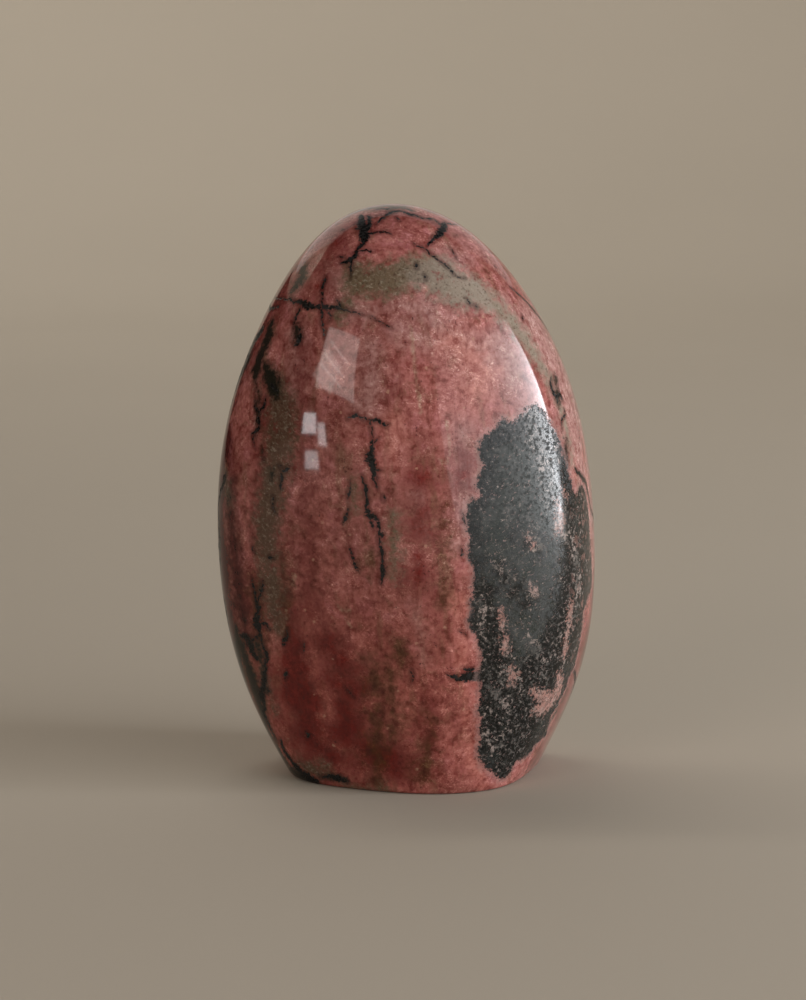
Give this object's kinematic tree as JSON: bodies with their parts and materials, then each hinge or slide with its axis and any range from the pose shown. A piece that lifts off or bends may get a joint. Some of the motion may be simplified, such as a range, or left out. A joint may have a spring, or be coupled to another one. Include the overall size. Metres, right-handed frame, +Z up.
{
  "type": "polished rhodonite freeform",
  "caption": "Upright polished rhodonite stone with soft ground flats, dark veins and patches, standing on a flat sawn base.",
  "frame": {"origin": "on the base plane, under the middle of the stone's bounding box", "axes": "+Z up along the height, +X to the right of the front, and the front faces -Y"},
  "size_m": [0.0798, 0.0526, 0.1199],
  "materials": {
    "rhodonite": "polished"
  },
  "bodies": {
    "root": {"stone": "rhodonite"}
  },
  "joints": []
}
